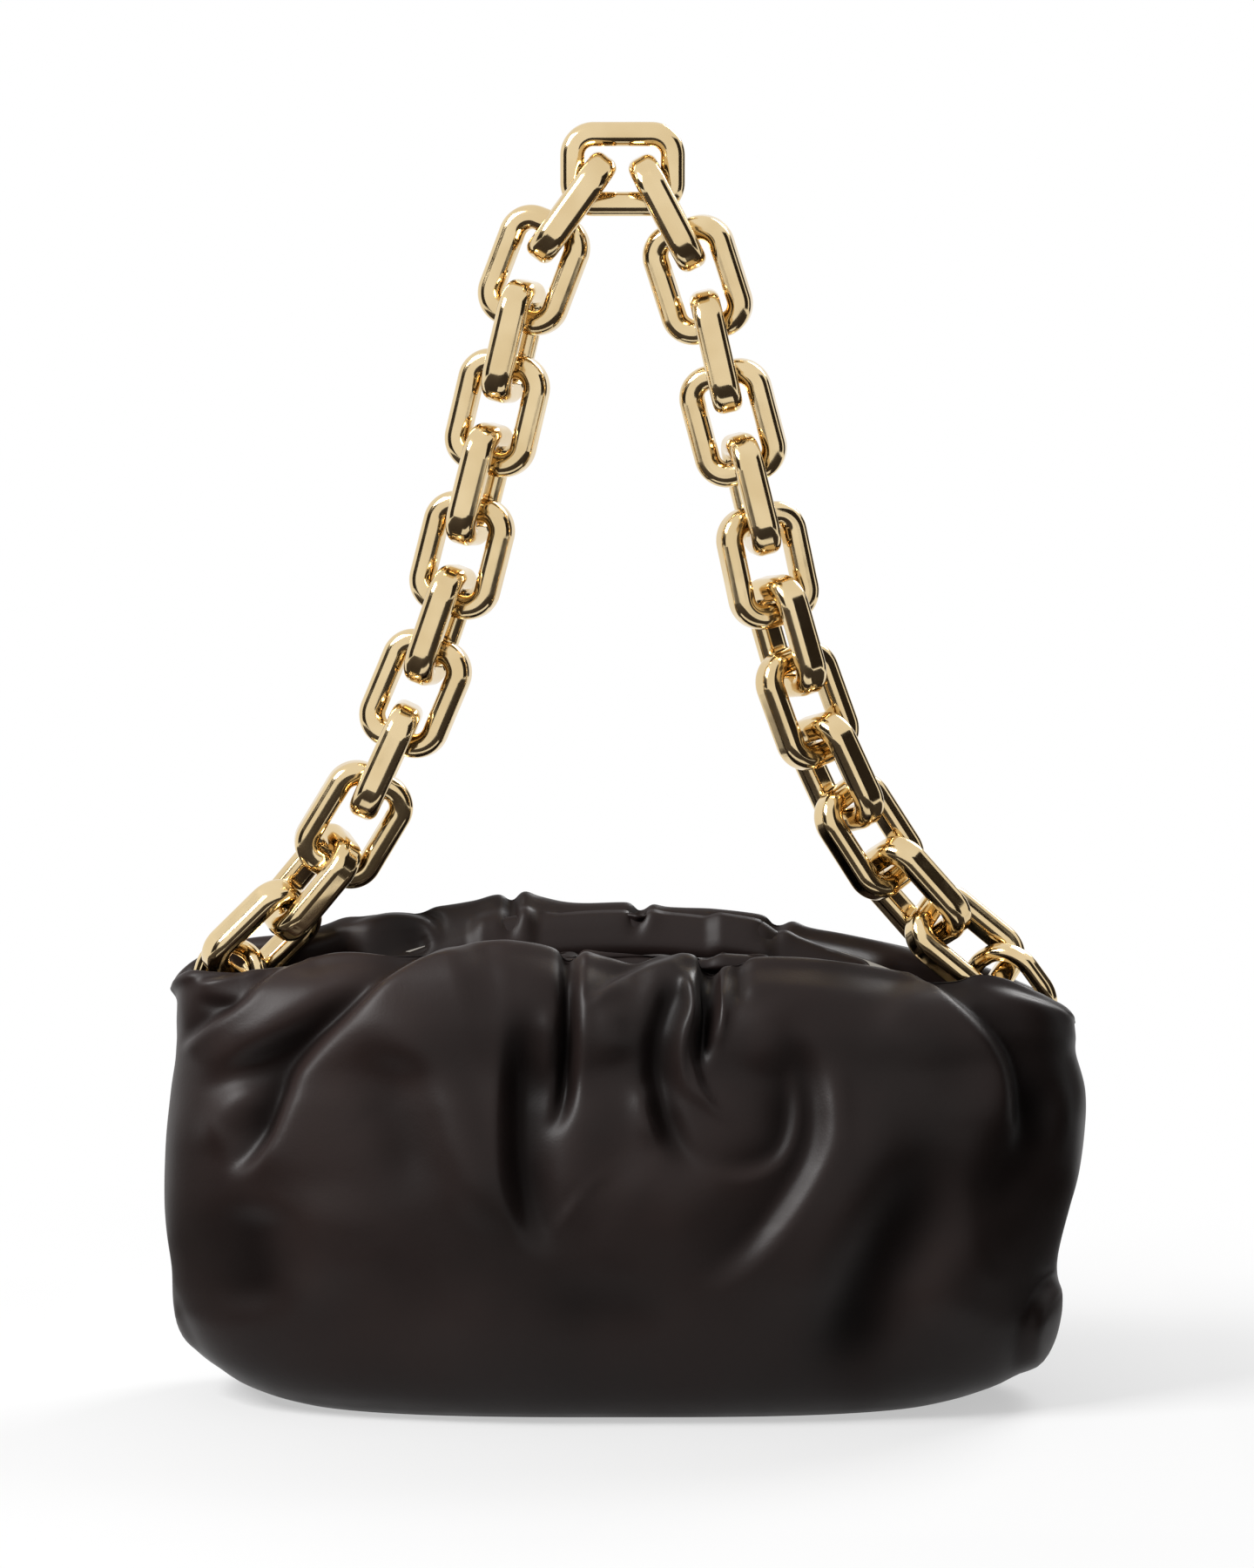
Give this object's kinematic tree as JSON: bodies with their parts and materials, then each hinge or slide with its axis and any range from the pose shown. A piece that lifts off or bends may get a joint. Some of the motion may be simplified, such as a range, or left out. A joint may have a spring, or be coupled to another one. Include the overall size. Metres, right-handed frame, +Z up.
{
  "type": "chain shoulder bag",
  "caption": "Gathered leather pouch bag with a hinged arched mouth, hung from a loop of heavy gold-coloured chain by a ring at each end.",
  "frame": {"origin": "middle of the underside of the top link, where a hook, hand or shoulder inside the chain loop holds the bag up", "axes": "+X to the right as seen from the front, +Y towards the back, +Z up"},
  "size_m": [0.308, 0.12, 0.4268],
  "materials": {
    "chain": "polished pale gold plating over a light alloy",
    "frame_steel": "satin",
    "magnet": "nickel plated",
    "leather": "soft smooth leather, satin",
    "board": "plain",
    "lining": "woven"
  },
  "bodies": {
    "top_link": {"top_link": "chain"},
    "left_link_01": {"left_link_01": "chain"},
    "left_link_02": {"left_link_02": "chain"},
    "left_link_03": {"left_link_03": "chain"},
    "left_link_04": {"left_link_04": "chain"},
    "left_link_05": {"left_link_05": "chain"},
    "left_link_06": {"left_link_06": "chain"},
    "left_link_07": {"left_link_07": "chain"},
    "left_link_08": {"left_link_08": "chain"},
    "left_link_09": {"left_link_09": "chain"},
    "left_link_10": {"left_link_10": "chain"},
    "left_link_11": {"left_link_11": "chain"},
    "left_link_12": {"left_link_12": "chain"},
    "left_ring": {"left_ring": "chain"},
    "right_link_01": {"right_link_01": "chain"},
    "right_link_02": {"right_link_02": "chain"},
    "right_link_03": {"right_link_03": "chain"},
    "right_link_04": {"right_link_04": "chain"},
    "right_link_05": {"right_link_05": "chain"},
    "right_link_06": {"right_link_06": "chain"},
    "right_link_07": {"right_link_07": "chain"},
    "right_link_08": {"right_link_08": "chain"},
    "right_link_09": {"right_link_09": "chain"},
    "right_link_10": {"right_link_10": "chain"},
    "right_link_11": {"right_link_11": "chain"},
    "right_link_12": {"right_link_12": "chain"},
    "right_ring": {"right_ring": "chain"},
    "bag": {"leather_body": "leather", "base_panel": "leather", "base_board": "board", "lining": "lining", "left_bracket": "frame_steel", "right_bracket": "frame_steel", "left_hinge_pin": "frame_steel", "right_hinge_pin": "frame_steel", "front_gather": "leather", "back_gather": "leather"},
    "front_lip": {"front_rail": "frame_steel", "front_magnets": "magnet"},
    "back_lip": {"back_rail": "frame_steel", "back_magnets": "magnet"}
  },
  "joints": [
    {"name": "left_bend_01", "type": "hinge", "parent": "top_link", "child": "left_link_01", "pos_m": [0, 0, 0.0125], "axis": [1, 0, 0], "range_deg": [-14, 14]},
    {"name": "left_bend_02", "type": "hinge", "parent": "left_link_01", "child": "left_link_02", "pos_m": [0, 0, -0.002], "axis": [1, 0, 0], "range_deg": [-12, 12]},
    {"name": "left_bend_03", "type": "hinge", "parent": "left_link_02", "child": "left_link_03", "pos_m": [0, 0, -0.0363], "axis": [1, 0, 0], "range_deg": [-16, 16]},
    {"name": "left_bend_04", "type": "hinge", "parent": "left_link_03", "child": "left_link_04", "pos_m": [0, 0, -0.0482], "axis": [1, 0, 0], "range_deg": [-16, 16]},
    {"name": "left_bend_05", "type": "hinge", "parent": "left_link_04", "child": "left_link_05", "pos_m": [0, 0, -0.0839], "axis": [1, 0, 0], "range_deg": [-16, 16]},
    {"name": "left_bend_06", "type": "hinge", "parent": "left_link_05", "child": "left_link_06", "pos_m": [0, 0, -0.0956], "axis": [1, 0, 0], "range_deg": [-16, 16]},
    {"name": "left_bend_07", "type": "hinge", "parent": "left_link_06", "child": "left_link_07", "pos_m": [0, 0, -0.13], "axis": [1, 0, 0], "range_deg": [-16, 16]},
    {"name": "left_bend_08", "type": "hinge", "parent": "left_link_07", "child": "left_link_08", "pos_m": [0, 0, -0.1435], "axis": [1, 0, 0], "range_deg": [-16, 16]},
    {"name": "left_bend_09", "type": "hinge", "parent": "left_link_08", "child": "left_link_09", "pos_m": [0, 0, -0.177], "axis": [1, 0, 0], "range_deg": [-16, 16]},
    {"name": "left_bend_10", "type": "hinge", "parent": "left_link_09", "child": "left_link_10", "pos_m": [0, 0, -0.1906], "axis": [1, 0, 0], "range_deg": [-16, 16]},
    {"name": "left_bend_11", "type": "hinge", "parent": "left_link_10", "child": "left_link_11", "pos_m": [0, 0, -0.216], "axis": [1, 0, 0], "range_deg": [-14, 14]},
    {"name": "left_bend_12", "type": "hinge", "parent": "left_link_11", "child": "left_link_12", "pos_m": [0, 0, -0.2278], "axis": [1, 0, 0], "range_deg": [-16, 10]},
    {"name": "left_ring_bend", "type": "hinge", "parent": "left_link_12", "child": "left_ring", "pos_m": [0, 0, -0.2497], "axis": [1, 0, 0], "range_deg": [-16, 16]},
    {"name": "bag_swing", "type": "hinge", "parent": "left_ring", "child": "bag", "pos_m": [0, 0, -0.2714], "axis": [1, 0, 0], "range_deg": [-14, 12]},
    {"name": "right_bend_01", "type": "hinge", "parent": "top_link", "child": "right_link_01", "pos_m": [0, 0, 0.0125], "axis": [1, 0, 0], "range_deg": [-14, 14]},
    {"name": "right_bend_02", "type": "hinge", "parent": "right_link_01", "child": "right_link_02", "pos_m": [0, 0, -0.002], "axis": [1, 0, 0], "range_deg": [-12, 12]},
    {"name": "right_bend_03", "type": "hinge", "parent": "right_link_02", "child": "right_link_03", "pos_m": [0, 0, -0.0363], "axis": [1, 0, 0], "range_deg": [-16, 16]},
    {"name": "right_bend_04", "type": "hinge", "parent": "right_link_03", "child": "right_link_04", "pos_m": [0, 0, -0.0482], "axis": [1, 0, 0], "range_deg": [-16, 16]},
    {"name": "right_bend_05", "type": "hinge", "parent": "right_link_04", "child": "right_link_05", "pos_m": [0, 0, -0.0839], "axis": [1, 0, 0], "range_deg": [-16, 16]},
    {"name": "right_bend_06", "type": "hinge", "parent": "right_link_05", "child": "right_link_06", "pos_m": [0, 0, -0.0956], "axis": [1, 0, 0], "range_deg": [-16, 16]},
    {"name": "right_bend_07", "type": "hinge", "parent": "right_link_06", "child": "right_link_07", "pos_m": [0, 0, -0.13], "axis": [1, 0, 0], "range_deg": [-16, 16]},
    {"name": "right_bend_08", "type": "hinge", "parent": "right_link_07", "child": "right_link_08", "pos_m": [0, 0, -0.1435], "axis": [1, 0, 0], "range_deg": [-16, 16]},
    {"name": "right_bend_09", "type": "hinge", "parent": "right_link_08", "child": "right_link_09", "pos_m": [0, 0, -0.177], "axis": [1, 0, 0], "range_deg": [-16, 16]},
    {"name": "right_bend_10", "type": "hinge", "parent": "right_link_09", "child": "right_link_10", "pos_m": [0, 0, -0.1906], "axis": [1, 0, 0], "range_deg": [-16, 16]},
    {"name": "right_bend_11", "type": "hinge", "parent": "right_link_10", "child": "right_link_11", "pos_m": [0, 0, -0.216], "axis": [1, 0, 0], "range_deg": [-14, 14]},
    {"name": "right_bend_12", "type": "hinge", "parent": "right_link_11", "child": "right_link_12", "pos_m": [0, 0, -0.2278], "axis": [1, 0, 0], "range_deg": [-16, 10]},
    {"name": "right_ring_bend", "type": "hinge", "parent": "right_link_12", "child": "right_ring", "pos_m": [0, 0, -0.2497], "axis": [1, 0, 0], "range_deg": [-16, 16]},
    {"name": "front_lip_hinge", "type": "hinge", "parent": "bag", "child": "front_lip", "pos_m": [0, 0, -0.26366], "axis": [1, 0, 0], "range_deg": [-25, 20], "deforming": ["front_gather"]},
    {"name": "back_lip_hinge", "type": "hinge", "parent": "bag", "child": "back_lip", "pos_m": [0, 0, -0.26366], "axis": [-1, 0, 0], "range_deg": [-25, 20], "deforming": ["back_gather"]}
  ],
  "couplings": [
    {"joint": "right_bend_01", "follows": "left_bend_01", "ratio": 1},
    {"joint": "right_bend_02", "follows": "left_bend_02", "ratio": 1},
    {"joint": "right_bend_03", "follows": "left_bend_03", "ratio": 1},
    {"joint": "right_bend_04", "follows": "left_bend_04", "ratio": 1},
    {"joint": "right_bend_05", "follows": "left_bend_05", "ratio": 1},
    {"joint": "right_bend_06", "follows": "left_bend_06", "ratio": 1},
    {"joint": "right_bend_07", "follows": "left_bend_07", "ratio": 1},
    {"joint": "right_bend_08", "follows": "left_bend_08", "ratio": 1},
    {"joint": "right_bend_09", "follows": "left_bend_09", "ratio": 1},
    {"joint": "right_bend_10", "follows": "left_bend_10", "ratio": 1},
    {"joint": "right_bend_11", "follows": "left_bend_11", "ratio": 1},
    {"joint": "right_bend_12", "follows": "left_bend_12", "ratio": 1},
    {"joint": "right_ring_bend", "follows": "left_ring_bend", "ratio": 1},
    {"joint": "back_lip_hinge", "follows": "front_lip_hinge", "ratio": 1}
  ]
}
